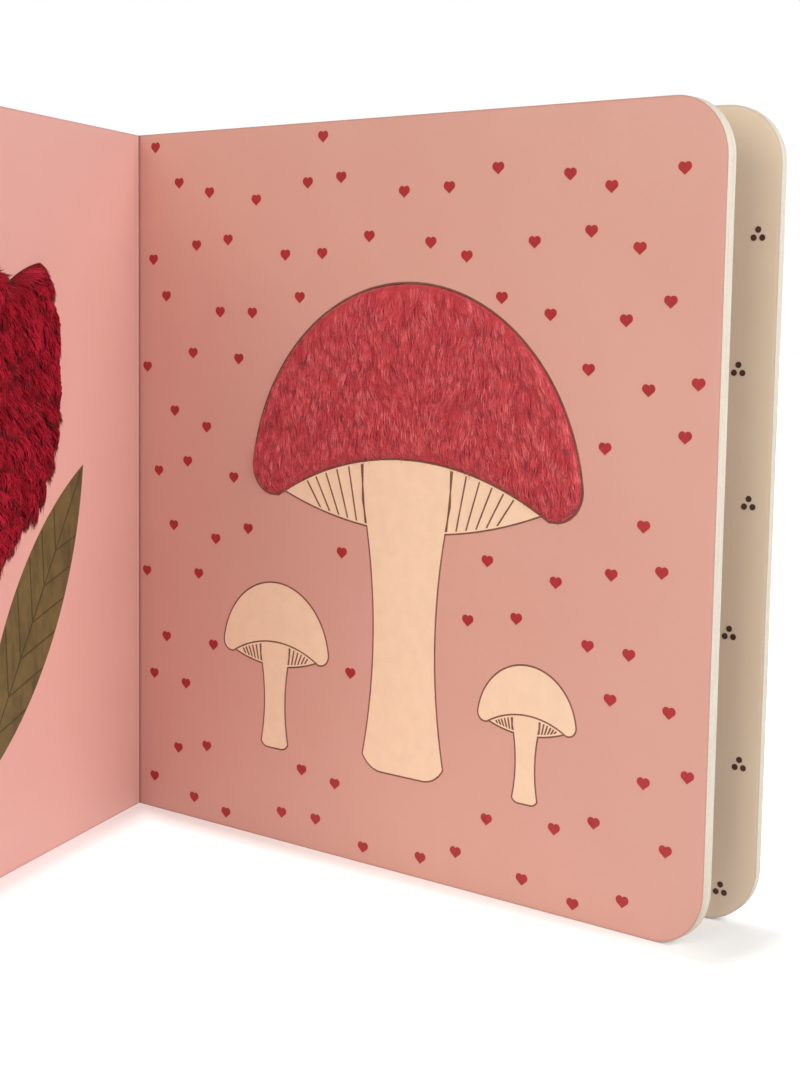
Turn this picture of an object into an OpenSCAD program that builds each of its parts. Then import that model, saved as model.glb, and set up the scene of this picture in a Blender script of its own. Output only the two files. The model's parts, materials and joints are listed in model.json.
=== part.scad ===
// A square touch-and-feel board book that stands open on its bottom edges.
// Thick board leaves meet at the gutter. The open right-hand page has a short plush patch in a
// die-cut window, as the cap of a printed toadstool, and the open left-hand page has a long
// plush patch, as the bloom of a printed tulip. The two covers swing on creases beside the spine.
// The gutter's foot is at 0, +Z is up, and the open pages face -Y.

/* [Book] */
// Width of a page, from the gutter to the fore-edge
page_w = 180; // [165:1:220]
// Height of a page
page_h = 180; // [170:1:220]
// Radius of the corners at the fore-edge
corner_r = 13; // [4:0.5:24]
// Thickness of one inner leaf, with its printed sheets
leaf_t = 3; // [2.4:0.1:4]
// Thickness of a cover
cover_t = 2.3; // [1.6:0.1:4]
// Number of inner leaves left of the opening
left_leaves = 3; // [2:1:5]

/* [Opening] */
// Half the angle between the two open pages
half_angle = 33.5; // [28:0.5:45]
// Angle between one left-hand leaf and the next
fan_angle = 1.2; // [0.8:0.1:2]
// Angle between the last left-hand leaf and the front cover
front_gap = 2; // [1:0.5:6]
// Angle between the right-hand leaf and the back cover
back_gap = 6.3; // [2:0.1:9]

/* [Spine] */
// Thickness of the spine strip
spine_t = 0.8; // [0.5:0.1:1.2]
// How far the spine strip bows out behind the creases
spine_bow = 4; // [3:0.1:5]
// Gap between a cover and the page beside it when the cover is shut, and beside the spine strip
crease_gap = 0.3; // [0.2:0.05:0.6]
// Width over which two leaves stay stuck together at their gutter
bond_w = 1; // [0.5:0.1:2]
// Thickness of the fold that joins the two open leaves behind their gutter
fold_t = 1; // [0.6:0.1:1.6]

/* [Sheets and print] */
// Thickness of a printed sheet pasted on the board
sheet_t = 0.15; // [0.1:0.05:0.3]
// Thickness of one layer of print
print_t = 0.06; // [0.04:0.01:0.1]
// Width of a printed line
line_w = 0.4; // [0.3:0.05:0.8]

/* [Hearts] */
// Distance between two hearts in a row
heart_pitch = 15.6; // [12:0.1:24]
// Distance between two rows of hearts
heart_row = 14.4; // [10:0.1:24]
// Radius of a heart's two lobes
heart_lobe = 0.95; // [0.6:0.05:1.4]
// Distance of each lobe's middle from the heart's middle line
heart_half = 0.72; // [0.4:0.02:0.9]
// Length of the heart below the middle of its lobes
heart_tip = 1.8; // [1.4:0.05:3]
// How far a heart strays from its even place
heart_stray = 2.6; // [0:0.1:4]
// Blank margin at the page's edges and round the picture
heart_margin = 3; // [2.5:0.5:8]

/* [Toadstool] */
// How far the toadstool stands outside the middle of the right-hand page
toadstool_shift = 5; // [0:1:10]
// Height of the cap's rim above the foot of the page
cap_rim_z = 96; // [90:1:104]
// Half the distance between the middles of the cap's two rounded rims
cap_half = 44; // [38:1:48]
// Radius of the cap's rounded rims
cap_rim_r = 7; // [4:0.5:9]
// How far the middle of the dome's arc lies below the rim
cap_dome_drop = 6; // [2:0.5:12]
// How far the middle of the hollow arc under the cap lies below the rim
cap_hollow_drop = 80; // [60:1:120]
// How far the printed gills hang below the rim
gill_drop = 13; // [9:0.5:18]
// Half the width of the gills at their ends
gill_half = 38; // [30:1:40]
// Number of printed gill lines on each side of the stem
gill_lines = 6; // [3:1:9]
// Height of the stem's foot above the foot of the page
stem_foot_z = 24; // [16:1:30]
// Half the width of the stem at its foot
stem_half = 13.5; // [11:0.5:16]
// Half the width of the stem at its waist
stem_waist = 9.5; // [7:0.5:11]
// Radius of the arcs that draw the stem in
stem_side_r = 140; // [110:5:200]
// Radius of the stem's bottom corners
stem_corner_r = 7; // [4:0.5:9]
// Size of the first small toadstool as a share of the large one
small_a = 0.36; // [0.3:0.01:0.4]
// Distance of the first small toadstool from the large one
small_a_s = 43; // [40:1:50]
// Size of the second small toadstool as a share of the large one
small_b = 0.27; // [0.2:0.01:0.32]
// Distance of the second small toadstool from the large one
small_b_s = 37; // [34:1:44]

/* [Tulip] */
// How far the tulip stands inside the middle of the left-hand page
tulip_shift = 5; // [0:1:10]
// Height of the bloom's base above the foot of the page
bloom_z = 74; // [70:1:80]
// Length of a petal
petal_l = 78; // [66:1:84]
// Width of a petal
petal_w = 44; // [36:1:50]
// Lean of the two outer petals
petal_lean = 24; // [16:1:28]
// Radius of the bloom's round base
bloom_base_r = 21; // [16:1:24]
// How far the round base reaches below the petals' points
bloom_base_drop = 1.5; // [0.5:0.5:4]
// Length of a printed leaf
blade_l = 90; // [70:1:96]
// Width of a printed leaf
blade_w = 23; // [16:1:28]
// Lean of a printed leaf
blade_lean = 36; // [28:1:42]
// Height of the stem's foot above the foot of the page
tulip_foot_z = 18; // [12:1:22]
// Width of the printed stem
tulip_stem_w = 4.5; // [3:0.5:7]

/* [Plush] */
// Depth of the die-cut windows below the page's face
window_d = 1.2; // [0.6:0.1:1.8]
// Clearance between a patch and its window
patch_clear = 0.2; // [0.1:0.05:0.4]
// Height of the short pile above the page
cap_pile = 1.2; // [0.4:0.1:2.5]
// Height of the long pile above the page
bloom_pile = 2.6; // [1:0.1:4]

/* [Back lining] */
// Distance between two printed sprigs in a row
sprig_pitch = 30; // [20:1:50]
// Distance between two rows of sprigs
sprig_row = 29; // [20:1:40]
// How far inside the fore-edge the outer sprigs stand
sprig_inset = 8.5; // [6:0.5:16]
// How far every second row stands nearer to the fore-edge
sprig_stagger = 3.5; // [0:0.5:4]
// Radius of one dot of a sprig
sprig_dot = 0.7; // [0.3:0.05:1]
// Distance of a sprig's dots from its middle
sprig_r = 1.15; // [0.9:0.05:1.6]

/* [Hidden] */

board_color = [0.90, 0.85, 0.79];
pink = [0.87, 0.62, 0.57];
cream = [0.93, 0.80, 0.70];
pale_cream = [0.87, 0.79, 0.71];
raspberry = [0.78, 0.30, 0.31];
deep_red = [0.52, 0.04, 0.11];
heart_red = [0.60, 0.20, 0.19];
line_brown = [0.42, 0.26, 0.18];
olive = [0.44, 0.35, 0.21];
dark_olive = [0.33, 0.26, 0.16];
dark_brown = [0.25, 0.15, 0.12];

// Where each cover's crease lies in the frame of the leaf beside it
crease_y = leaf_t + crease_gap + cover_t;
// How much nearer than its thickness one leaf is to the next, so that they stay stuck at the gutter
bond_y = bond_w * sin(fan_angle);

// Turns a point in a page's frame, where x runs along the page and y out behind it, to the plan
function turned(p, a) = [p[0] * cos(a) - p[1] * sin(a), p[0] * sin(a) + p[1] * cos(a)];
// Gutter behind the left-hand leaf number k, in the open left-hand page's frame
function left_gutter(k) =
    k == 0 ? [0, 0] : left_gutter(k - 1) + turned([0, leaf_t - bond_y], (k - 1) * fan_angle);

page_turn = half_angle - 90;
back_crease = turned([0, crease_y], page_turn);
left_crease = turned(
    left_gutter(left_leaves - 1) + turned([0, crease_y], (left_leaves - 1) * fan_angle), page_turn);
front_crease = [-left_crease[0], left_crease[1]];

// The spine strip is an arc through both creases
chord = front_crease - back_crease;
chord_l = norm(chord);
spine_r = (chord_l * chord_l / 4 + spine_bow * spine_bow) / (2 * spine_bow);
chord_out = [chord[1], -chord[0]] / chord_l;
spine_mid = (back_crease + front_crease) / 2 + (spine_r - spine_bow) * [-chord_out[0], -chord_out[1]];
spine_out = atan2(chord_out[1], chord_out[0]);
// The strip stops this far short of each crease, so that an open cover clears it
spine_stop = 2 * crease_gap;
spine_half = asin(chord_l / 2 / spine_r) - spine_stop / spine_r * 180 / PI;

toadstool_s = page_w / 2 + toadstool_shift;
dome_r = norm([cap_half, cap_dome_drop]) + cap_rim_r;
hollow_r = norm([cap_half, cap_hollow_drop]) - cap_rim_r;
gill_end = gill_drop / 2;
gill_r = (gill_half * gill_half + gill_end * gill_end) / (2 * gill_end);
stem_top_z = cap_rim_z - gill_end;
waist_z = (stem_foot_z + stem_top_z) / 2;

tulip_s = page_w / 2 - tulip_shift;

// The flat outline of a leaf or cover, rounded at the fore-edge and set back at the gutter
module page_outline(back_set = 0) {
    translate([back_set, 0]) square([page_w - corner_r - back_set, page_h]);
    translate([page_w / 2, corner_r]) square([page_w / 2, page_h - 2 * corner_r]);
    for (z = [corner_r, page_h - corner_r])
        translate([page_w - corner_r, z]) circle(corner_r, $fn = 96);
}

// Stands a flat drawing up in a page's frame, between two depths behind the page's face
module stand(from, to) {
    translate([0, to, 0]) rotate([90, 0, 0]) linear_extrude(to - from) children();
}

// The frame of an open page: x along it from the gutter, y out behind it
module right_page() { rotate([0, 0, page_turn]) children(); }
module left_page() { mirror([1, 0, 0]) right_page() children(); }

// The frame of the leaf number k behind the open left-hand page
module fanned(k) {
    if (k == 0) children();
    else translate([0, leaf_t - bond_y, 0]) rotate([0, 0, fan_angle]) fanned(k - 1) children();
}

// The frame of a cover at rest, with its crease at 0, inside the frame of the leaf beside it
module on_crease(gap) { translate([0, crease_y, 0]) rotate([0, 0, gap]) children(); }
module back_cover_frame() { right_page() on_crease(back_gap) children(); }
module front_cover_frame() { left_page() fanned(left_leaves - 1) on_crease(front_gap) children(); }

// What the rounding takes off the two square corners at the fore-edge
module corner_waste() {
    for (z = [0, 1]) translate([page_w - corner_r, z * (page_h - 2 * corner_r) + corner_r])
        mirror([0, 1 - z]) difference() {
            square(2 * corner_r);
            circle(corner_r, $fn = 96);
        }
}

// Half the plan of a folded spread, from its inner mitre round to its outer one. The front and back
// are depths behind the page's face, and beyond the depth fold_to the half ends square at the gutter.
function half_plan(front, back, fold_to) = concat(
    [[page_w, front], [page_w, back]],
    fold_to < back ? [[0, back], [0, fold_to]] : []);
function in_plan(points, side) = [for (p = points) [side * turned(p, page_turn)[0], turned(p, page_turn)[1]]];
function reversed(points) = [for (i = [len(points) - 1 : -1 : 0]) points[i]];
function mitre(depth) = [0, depth / sin(half_angle)];

// Both halves of a spread in one piece, folded at the gutter
module folded_spread(front, right_back, left_back, fold_to) {
    difference() {
        linear_extrude(page_h) polygon(concat(
            [mitre(front)], in_plan(half_plan(front, right_back, fold_to), 1),
            [mitre(fold_to)], reversed(in_plan(half_plan(front, left_back, fold_to), -1))));
        right_page() stand(front - leaf_t, right_back + leaf_t) corner_waste();
        left_page() stand(front - leaf_t, left_back + leaf_t) corner_waste();
    }
}

// The cap of the toadstool about the middle of its rim line, grown by g all round
module cap_outline(g) {
    difference() {
        union() {
            intersection() {
                translate([0, -cap_dome_drop]) circle(dome_r + g, $fn = 180);
                polygon([[0, -cap_dome_drop], [2 * cap_half, cap_dome_drop], [2 * cap_half, 3 * cap_half],
                         [-2 * cap_half, 3 * cap_half], [-2 * cap_half, cap_dome_drop]]);
            }
            polygon([[-cap_half, 0], [-cap_half, -cap_rim_r - g], [cap_half, -cap_rim_r - g],
                     [cap_half, 0], [0, cap_dome_drop]]);
            for (x = [-cap_half, cap_half]) translate([x, 0]) circle(cap_rim_r + g, $fn = 64);
        }
        translate([0, -cap_hollow_drop]) circle(hollow_r - g, $fn = 180);
    }
}

// The lens of gills under the cap, grown by g below and kept line_w clear of the cap above
module gill_outline(g, line) {
    intersection() {
        translate([0, -cap_hollow_drop]) circle(hollow_r - line, $fn = 180);
        translate([0, gill_r - gill_drop]) circle(gill_r + g, $fn = 180);
        square([2 * cap_half, 6 * gill_drop], center = true);
    }
}

// The stem about the foot of its middle line, grown by g, as high as the gills
module stem_outline(g) {
    top = stem_top_z - stem_foot_z;
    difference() {
        union() {
            translate([-stem_half - g, stem_corner_r]) square([2 * (stem_half + g), top - stem_corner_r]);
            translate([-stem_half + stem_corner_r, -g])
                square([2 * (stem_half - stem_corner_r), 2 * stem_corner_r]);
            for (x = [-1, 1])
                translate([x * (stem_half - stem_corner_r), stem_corner_r])
                    circle(stem_corner_r + g, $fn = 64);
        }
        for (x = [-1, 1])
            translate([x * (stem_waist + stem_side_r), waist_z - stem_foot_z])
                circle(stem_side_r - g, $fn = 180);
    }
}

// Gills and stem together, about the middle of the cap's rim line
module under_cap(g, line) {
    gill_outline(g, line);
    translate([0, stem_foot_z - cap_rim_z]) stem_outline(g);
}

// Places a drawing on the large toadstool and on its two small neighbours, at its own scale each
module at_large() { translate([toadstool_s, cap_rim_z]) children(); }
module at_small(share, offset_s) {
    translate([toadstool_s + offset_s, stem_foot_z + share * (cap_rim_z - stem_foot_z)])
        scale(share) children();
}

// Printed lines over the gills: the stem's two sides and the gill lines, all inside the gills
module gill_strokes(line) {
    intersection() {
        gill_outline(-line, 2 * line);
        union() {
            translate([0, stem_foot_z - cap_rim_z]) difference() {
                stem_band(line);
                stem_band(0);
            }
            for (i = [1 : gill_lines], x = [-1, 1])
                translate([x * (stem_waist + line + i * (gill_half - stem_waist) / (gill_lines + 1)), 0])
                    rotate(-x * 6 * i) square([line, 4 * gill_drop], center = true);
        }
    }
}
// The stem's middle run on up to the cap, grown by g
module stem_band(g) {
    difference() {
        translate([-stem_half - g, stem_corner_r])
            square([2 * (stem_half + g), cap_rim_z - stem_foot_z]);
        for (x = [-1, 1])
            translate([x * (stem_waist + stem_side_r), waist_z - stem_foot_z])
                circle(stem_side_r - g, $fn = 180);
    }
}

// A lens between two equal arcs, standing on its lower point, grown by g
module lens(length, width, g) {
    r = (length * length + width * width) / (4 * width);
    translate([0, length / 2]) intersection() {
        translate([r - width / 2, 0]) circle(r + g, $fn = 180);
        translate([width / 2 - r, 0]) circle(r + g, $fn = 180);
    }
}

// The tulip's bloom: three petals on a round base, grown by g
module bloom_outline(g) {
    for (a = [-petal_lean, 0, petal_lean]) rotate(a) lens(petal_l, petal_w, g);
    translate([0, bloom_base_r - bloom_base_drop]) circle(bloom_base_r + g, $fn = 96);
}

module at_bloom() { translate([tulip_s, bloom_z]) children(); }
// The printed leaves spring from inside the stem, a stem's width above its foot
module at_blades() { translate([tulip_s, tulip_foot_z + tulip_stem_w]) children(); }

// One small heart about the middle of its lobes, from two round lobes and their tangents to the tip
module heart() {
    reach = norm([heart_half, heart_tip]);
    slant = atan2(heart_tip, heart_half) - asin(heart_lobe / reach);
    side = sqrt(reach * reach - heart_lobe * heart_lobe);
    touch = [side * cos(slant), side * sin(slant) - heart_tip];
    for (x = [-1, 1]) translate([x * heart_half, 0]) circle(heart_lobe, $fn = 24);
    polygon([[0, -heart_tip], touch, [heart_half, 0], [-heart_half, 0], [-touch[0], touch[1]]]);
}

// Even places in staggered rows, each strayed by a rule from its row and column
function heart_place(i, j) = [
    (i + (j % 2) / 2 + 0.35) * heart_pitch + heart_stray * sin(137 * i + 71 * j + 20),
    (j + 0.45) * heart_row + heart_stray * cos(101 * i + 163 * j)
];
// Whether a heart at p lies on the page and clear of the toadstools
function in_circle(p, middle, r) = norm(p - middle) < r + heart_margin;
function in_box(p, low, high) =
    p[0] > low[0] - heart_margin && p[0] < high[0] + heart_margin
    && p[1] > low[1] - heart_margin && p[1] < high[1] + heart_margin;
function small_box_hit(p, share, offset_s) = in_box(
    p, [toadstool_s + offset_s - share * (cap_half + cap_rim_r), stem_foot_z],
    [toadstool_s + offset_s + share * (cap_half + cap_rim_r),
     stem_foot_z + share * (cap_rim_z - stem_foot_z - cap_dome_drop + dome_r)]);
function in_corner(p) =
    p[0] > page_w - corner_r && (p[1] < corner_r || p[1] > page_h - corner_r)
    && norm(p - [page_w - corner_r, p[1] < corner_r ? corner_r : page_h - corner_r])
       > corner_r - heart_margin;
function heart_fits(p) =
    in_box(p, [2 * heart_margin, 2 * heart_margin],
           [page_w - 2 * heart_margin, page_h - 2 * heart_margin])
    && !in_corner(p)
    && !(p[1] > cap_rim_z - cap_rim_r - heart_margin
         && in_circle(p, [toadstool_s, cap_rim_z - cap_dome_drop], dome_r))
    && !in_box(p, [toadstool_s - stem_half, stem_foot_z], [toadstool_s + stem_half, cap_rim_z])
    && !in_box(p, [toadstool_s - gill_half, cap_rim_z - gill_drop], [toadstool_s + gill_half, cap_rim_z])
    && !small_box_hit(p, small_a, -small_a_s)
    && !small_box_hit(p, small_b, small_b_s);

// The board leaves and their folds, one solid, with the two die-cut windows
module pages() {
    color(board_color) difference() {
        union() {
            folded_spread(sheet_t, leaf_t - sheet_t, leaf_t, fold_t);
            left_page() for (k = [1 : left_leaves - 1])
                fanned(k) stand(0, leaf_t) page_outline(k * bond_w / 5);
        }
        right_page() stand(0, window_d) at_large() cap_outline(0);
        left_page() stand(0, window_d) at_bloom() bloom_outline(0);
    }
}

// The printed sheet of the open spread, folded at the gutter, with the same two windows
module open_spread_sheet() {
    color(pink) difference() {
        folded_spread(0, sheet_t, sheet_t, sheet_t);
        right_page() stand(-fold_t, fold_t) at_large() cap_outline(0);
        left_page() stand(-fold_t, fold_t) at_bloom() bloom_outline(0);
    }
}

module front_cover() {
    color(pink) front_cover_frame() stand(-cover_t, 0) page_outline();
}

module back_cover() {
    color(board_color) back_cover_frame() stand(sheet_t - cover_t, 0) page_outline();
}

// The pale sheet on the back cover's inner face
module back_cover_lining() {
    color(pale_cream) back_cover_frame() stand(-cover_t, sheet_t - cover_t) page_outline();
}

// Small printed sprigs of three dots, in staggered rows over a page, counted in from the fore-edge
module sprigs() {
    across = ceil((page_w - sprig_inset) / sprig_pitch);
    up = ceil(page_h / sprig_row - 0.5);
    for (i = [0 : across - 1], j = [0 : up - 1])
        translate([page_w - sprig_inset + (j % 2) * sprig_stagger - i * sprig_pitch, (j + 0.25) * sprig_row])
            for (a = [90, 210, 330]) rotate(a) translate([sprig_r, 0]) circle(sprig_dot, $fn = 16);
}
module lining_sprigs() {
    color(dark_brown) back_cover_frame() stand(-cover_t - print_t, -cover_t) sprigs();
}

// The other half of the pale spread, on the back of the right-hand leaf
module leaf_back_sheet() {
    color(pale_cream) right_page() stand(leaf_t - sheet_t, leaf_t) page_outline();
}
module leaf_back_sprigs() {
    color(dark_brown) right_page() stand(leaf_t, leaf_t + print_t) sprigs();
}

// The strip of cover stock that bows out behind the leaves, from crease to crease
module spine() {
    color(pink) linear_extrude(page_h) translate(spine_mid) rotate(spine_out) intersection() {
        difference() {
            circle(spine_r, $fn = 128);
            circle(spine_r - spine_t, $fn = 128);
        }
        polygon([[0, 0], 2 * spine_r * [1, tan(spine_half)], 2 * spine_r * [1, -tan(spine_half)]]);
    }
}

module cap_plush() {
    color(raspberry) right_page() stand(-cap_pile, window_d) at_large() cap_outline(-patch_clear);
}

module bloom_plush() {
    color(deep_red) left_page() stand(-bloom_pile, window_d) at_bloom() bloom_outline(-patch_clear);
}

module hearts() {
    color(heart_red) right_page() stand(-print_t, 0)
        for (i = [-1 : ceil(page_w / heart_pitch)], j = [0 : ceil(page_h / heart_row)])
            if (heart_fits(heart_place(i, j))) translate(heart_place(i, j)) heart();
}

// The pale fields of the toadstools: gills and stem of the large one, all of the small ones
module toadstool_print() {
    color(cream) right_page() stand(-print_t, 0) {
        at_large() under_cap(0, line_w);
        for (small = [[small_a, -small_a_s], [small_b, small_b_s]])
            at_small(small[0], small[1]) {
                under_cap(0, line_w / small[0]);
                cap_outline(0);
            }
    }
}

// The printed outlines, round the fields and the window, and the strokes over the gills
module toadstool_lines() {
    color(line_brown) right_page() {
        stand(-print_t, 0) {
            at_large() outlines(line_w);
            for (small = [[small_a, -small_a_s], [small_b, small_b_s]])
                at_small(small[0], small[1]) outlines(line_w / small[0]);
        }
        stand(-2 * print_t, -print_t) {
            at_large() gill_strokes(line_w);
            for (small = [[small_a, -small_a_s], [small_b, small_b_s]])
                at_small(small[0], small[1]) gill_strokes(line_w / small[0]);
        }
    }
}
module outlines(line) {
    difference() {
        union() {
            cap_outline(line);
            under_cap(line, 0);
        }
        cap_outline(0);
        under_cap(0, line);
    }
}

// The printed stem and leaves of the tulip
module tulip_leaves() {
    color(olive) left_page() stand(-print_t, 0) difference() {
        union() {
            at_blades() for (a = [-blade_lean, blade_lean]) rotate(a) lens(blade_l, blade_w, 0);
            translate([tulip_s - tulip_stem_w / 2, tulip_foot_z])
                square([tulip_stem_w, bloom_z - tulip_foot_z + bloom_base_r]);
        }
        at_bloom() bloom_outline(0);
    }
}

// The leaves' darker middle and side veins, printed over them
module tulip_veins() {
    vein_gap = blade_l / 9;
    color(dark_olive) left_page() stand(-2 * print_t, -print_t) at_blades()
        for (a = [-blade_lean, blade_lean]) rotate(a) intersection() {
            lens(blade_l, blade_w, -line_w);
            union() {
                translate([-line_w / 2, vein_gap]) square([line_w, blade_l]);
                for (k = [1 : 6], x = [-1, 1])
                    translate([0, (k + 0.5) * vein_gap]) rotate(-x * 40)
                        translate([-line_w / 2, 0]) square([line_w, blade_w]);
            }
        }
}

pages();
open_spread_sheet();
leaf_back_sheet();
leaf_back_sprigs();
front_cover();
back_cover();
back_cover_lining();
lining_sprigs();
spine();
cap_plush();
bloom_plush();
hearts();
toadstool_print();
toadstool_lines();
tulip_leaves();
tulip_veins();
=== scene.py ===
"""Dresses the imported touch-and-feel book: paper, board, print and plush, its studio floor, lamps and camera."""
import json
import math

import bpy
import numpy as np
from mathutils import Matrix, Vector


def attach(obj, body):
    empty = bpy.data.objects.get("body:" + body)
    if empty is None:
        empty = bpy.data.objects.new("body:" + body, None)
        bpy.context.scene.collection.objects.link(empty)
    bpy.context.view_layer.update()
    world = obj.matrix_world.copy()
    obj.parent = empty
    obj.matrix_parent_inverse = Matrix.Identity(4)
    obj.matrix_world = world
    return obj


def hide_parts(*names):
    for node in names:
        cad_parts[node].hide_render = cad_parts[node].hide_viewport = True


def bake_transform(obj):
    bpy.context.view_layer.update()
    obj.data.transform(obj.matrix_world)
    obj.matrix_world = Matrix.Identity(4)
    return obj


bl_info = {
    "name": "Touch-and-Feel Book",
    "version": (1, 0, 0),
    "blender": (4, 5, 0),
    "location": "View3D > Sidebar > Book",
    "description": "Board, laminated print and plush finishes round the packed book",
    "category": "Object",
}

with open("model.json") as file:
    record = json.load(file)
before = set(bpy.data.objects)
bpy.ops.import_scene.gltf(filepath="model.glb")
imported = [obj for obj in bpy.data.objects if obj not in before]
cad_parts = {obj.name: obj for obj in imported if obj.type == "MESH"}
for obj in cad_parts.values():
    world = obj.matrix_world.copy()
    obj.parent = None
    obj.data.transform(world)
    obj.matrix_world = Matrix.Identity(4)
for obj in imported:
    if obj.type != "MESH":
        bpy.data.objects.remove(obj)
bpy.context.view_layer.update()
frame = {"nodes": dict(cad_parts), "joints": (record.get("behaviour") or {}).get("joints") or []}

MM = 0.001
BODY = "book_block"  # the body that every plush piece rides on

# Paper: the lightest that ink or board gets, the noise scales per metre, the specular levels of laminated
# print and bare board, and where the rim, rounded by a bump and darkened by painted shade, starts and ends.
LIGHTEST = 0.95
FINE_TOOTH, COARSE_TOOTH, CLOUDS = 2600, 700, 22
PRINT_GLOSS, BOARD_GLOSS = 0.38, 0.3
RIM_PRESS_AND_SHADE = (0.1 * MM, 0.55 * MM)

# Plush: the tufts of a patch, the pieces that they are split into, the points that measure its outline, how
# far apart two corners of its mesh count as one, and how far a stray tuft reaches past its neighbours.
TUFTS, BANDS = 38000, 2
RIM_POINTS = 420
WELD = 0.005 * MM
STRAY = 1.6 * MM
SHORTEST = 0.12  # share of its length that a tuft keeps at the outline

# Creases: how far the strip runs before and past the crease in mm, a span about the crease in mm whose end points are
# worked out but not used, its points across, the two distances of its skin from the cover, and how far it stops short
# of the head and the tail.
STRIP_SPAN = (-2.2, 1.6)
STRIP_BEND = (-0.9, 0.9)
STRIP_POINTS = 39
STRIP_SKIN = (0.02 * MM, 0.17 * MM)
STRIP_SHORT = 0.15 * MM

# Stage: the floor's colour and reach, the middle and the limits of its shaded band across and along the
# pages, and the lamps' size, aim, places and colours.
FLOOR_COLOUR = (0.86, 0.86, 0.86)
FLOOR_REACH = 6.0
BAND_MIDDLE = 10 * MM
BAND_ACROSS, BAND_ALONG = (13 * MM, 35 * MM), (185 * MM, 215 * MM)
LAMP_SIZE = 1.0
BOOK_MIDDLE = (0.0, -0.05, 0.09)
LAMPS = (
    ("key", (0.66, -1.33, 0.8), (0.99, 1.0, 1.02)),
    ("side", (-1.1, -1.1, 0.6), (1.04, 1.0, 0.8)),
    ("top", (-0.55, 0.45, 1.3), (1.0, 1.0, 1.0)),
    ("back", (0.3, 1.5, 0.8), (1.0, 1.0, 1.0)),
)

# Camera, as fitted to the photograph: its place, and the directions to the image's right, down and ahead.
EYE = (-0.06784148, -0.50852729, 0.13420058)
EYE_RIGHT = (0.96402007, -0.26541148, 0.01490154)
EYE_DOWN = (-0.0162197, -0.11467994, -0.99327007)
EYE_FORWARD = (0.26533419, 0.95729058, -0.11485865)


class Leaf:
    """The frame of one leaf or cover: along runs from the gutter to the fore-edge, behind runs into the board.

    Both are unit vectors in the plan, and start, end, face and back are the leaf's limits along them.
    """

    def __init__(self, along, behind, points):
        self.along, self.behind = along, behind
        s, d = points @ along, points @ behind
        self.start, self.end = float(s.min()), float(s.max())
        self.face, self.back = float(d.min()), float(d.max())
        self.height = float(points[:, 2].max())

    def world(self, s, depth, z):
        """A point s along the page, depth behind its face and z up, as rows of x, y and z."""
        s, depth, z = np.broadcast_arrays(s, depth, z)
        return s[..., None] * self.along + depth[..., None] * self.behind + z[..., None] * np.array([0, 0, 1.0])


def node_points(node):
    """The corners of a CAD node's mesh, in metres."""
    mesh = frame["nodes"][node].data
    co = np.empty(len(mesh.vertices) * 3, np.float32)
    mesh.vertices.foreach_get("co", co)
    return co.reshape(-1, 3).astype(float)


def node_triangles(node):
    """The corners of each triangle of a CAD node's mesh, as an array of n x 3 x 3."""
    mesh = frame["nodes"][node].data
    mesh.calc_loop_triangles()
    corner = np.empty(len(mesh.loop_triangles) * 3, np.int32)
    mesh.loop_triangles.foreach_get("vertices", corner)
    return node_points(node)[corner.reshape(-1, 3)]


def open_page(side):
    """The frame of an open page: its face holds the fold, so the face's points stand at the least angle from -Y."""
    points = node_points("open_spread_sheet")
    clear_of_fold = 10 * MM
    points = points[points[:, 0] * side > clear_of_fold]
    half = np.arctan2(np.abs(points[:, 0]), -points[:, 1]).min()
    along = np.array([side * math.sin(half), -math.cos(half), 0])
    behind = np.array([side * math.cos(half), math.sin(half), 0])
    return Leaf(along, behind, points)


def board_leaf(node, like):
    """The frame of a separate flat node: along is the long direction of its plan, turned as the page beside it."""
    points = node_points(node)
    plan = points[:, :2] - points[:, :2].mean(0)
    along = np.append(np.linalg.eigh(plan.T @ plan)[1][:, 1], 0)
    along *= np.sign(along @ like.along)
    behind = np.array([-along[1], along[0], 0])
    behind *= np.sign(behind @ like.behind)
    return Leaf(along, behind, points)


RIGHT = open_page(1)
LEFT = open_page(-1)
BACK_COVER = board_leaf("back_cover", RIGHT)
FRONT_COVER = board_leaf("front_cover", LEFT)
BACK_LINING = board_leaf("back_cover_lining", RIGHT)
LEAF_BACK = board_leaf("leaf_back_sheet", RIGHT)


def linear(red, green, blue):
    """A colour as Blender's sockets want it, from its display values of 0 to 255."""
    c = np.array([red, green, blue]) / 255
    return tuple(np.where(c <= 0.04045, c / 12.92, ((c + 0.055) / 1.055) ** 2.4))


class Wire:
    """A value on its way through a material's nodes, so that sums are written as sums."""

    def __init__(self, recipe, socket):
        self.recipe, self.socket = recipe, socket

    def sum(self, operation, *values, clamp=False):
        return self.recipe.maths(operation, *values, clamp=clamp)

    def __add__(self, other):
        return self.sum("ADD", self, other)

    def __sub__(self, other):
        return self.sum("SUBTRACT", self, other)

    def __mul__(self, other):
        return self.sum("MULTIPLY", self, other)

    def __truediv__(self, other):
        return self.sum("DIVIDE", self, other)

    def __rsub__(self, other):
        return self.sum("SUBTRACT", other, self)

    def __abs__(self):
        return self.sum("ABSOLUTE", self)

    __radd__, __rmul__ = __add__, __mul__

    def clamped(self):
        return self.sum("ADD", self, 0, clamp=True)

    def above(self, other=0):
        return self.sum("MAXIMUM", self, other)

    def root(self):
        return self.sum("SQRT", self)

    def sign(self):
        return self.sum("SIGN", self)

    def step(self, low, high):
        """0 below low and 1 above high, with a straight ramp between."""
        return ((self - low) / (high - low)).clamped()


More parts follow.
